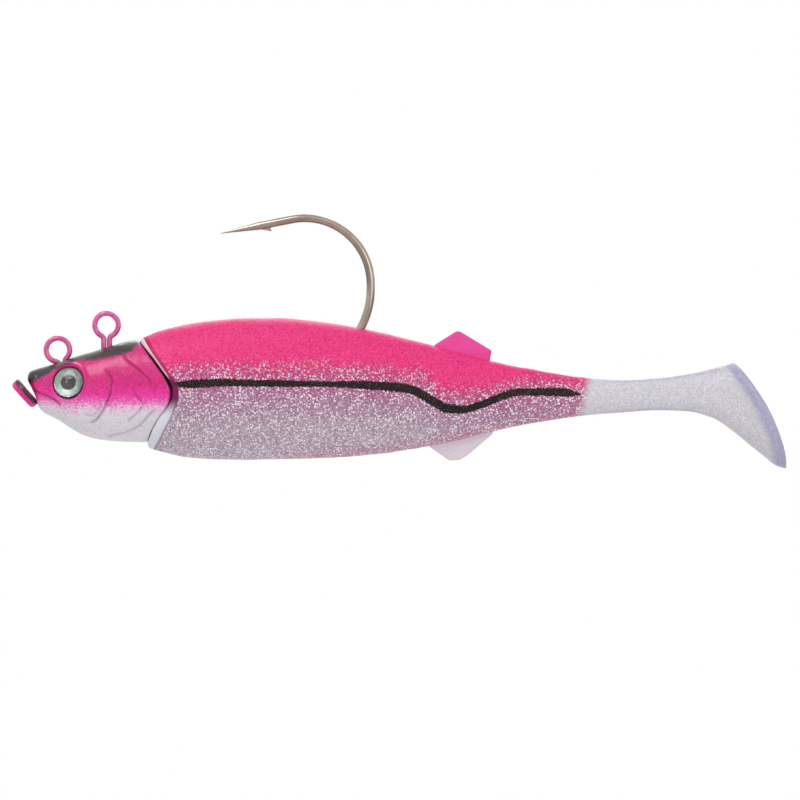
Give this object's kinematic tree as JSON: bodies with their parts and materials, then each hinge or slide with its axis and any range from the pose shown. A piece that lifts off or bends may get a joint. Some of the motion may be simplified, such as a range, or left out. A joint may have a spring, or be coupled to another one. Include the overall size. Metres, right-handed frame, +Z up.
{
  "type": "rigged soft shad on a jig head",
  "caption": "Fish-shaped lead jig head with wire eyelets and an upturned single hook, rigged with a soft fish body whose paddle tail bends from side to side.",
  "frame": {"origin": "centre of the back eyelet's ring, where the line is tied", "axes": "+X along the length from the snout to the tail, +Y out of the fish's right side and along both eyelets' holes, +Z up towards the hook's point"},
  "size_m": [0.2248, 0.024, 0.075],
  "materials": {
    "painted_lead": "gloss",
    "hook_steel": "polished",
    "painted_wire": "gloss",
    "eye_foil": "gloss",
    "clear_dome": "gloss",
    "soft_body_pink": "gloss",
    "soft_body_pearl": "gloss"
  },
  "bodies": {
    "head_and_front_body": {"head_casting": "painted_lead", "jig_hook": "hook_steel", "nose_eyelet": "painted_wire", "back_eyelet": "painted_wire", "eye_foil_left": "eye_foil", "eye_foil_right": "eye_foil", "eye_dome_left": "clear_dome", "eye_dome_right": "clear_dome", "front_body": "soft_body_pink"},
    "rear_body": {"rear_body": "soft_body_pink"},
    "tail_stem": {"tail_stem": "soft_body_pearl"},
    "tail_paddle": {"tail_paddle": "soft_body_pearl"}
  },
  "joints": [
    {"name": "rear_body_bend", "type": "hinge", "parent": "head_and_front_body", "child": "rear_body", "pos_m": [0.088, 0, -0.02], "axis": [0, 0, 1], "range_deg": [-15, 15], "stiffness_Nm_per_rad": 0.08},
    {"name": "tail_bend", "type": "hinge", "parent": "rear_body", "child": "tail_stem", "pos_m": [0.124, 0, -0.02], "axis": [0, 0, 1], "range_deg": [-30, 30], "stiffness_Nm_per_rad": 0.02},
    {"name": "paddle_bend", "type": "hinge", "parent": "tail_stem", "child": "tail_paddle", "pos_m": [0.158, 0, -0.02], "axis": [0, 0, 1], "range_deg": [-40, 40], "stiffness_Nm_per_rad": 0.008}
  ]
}
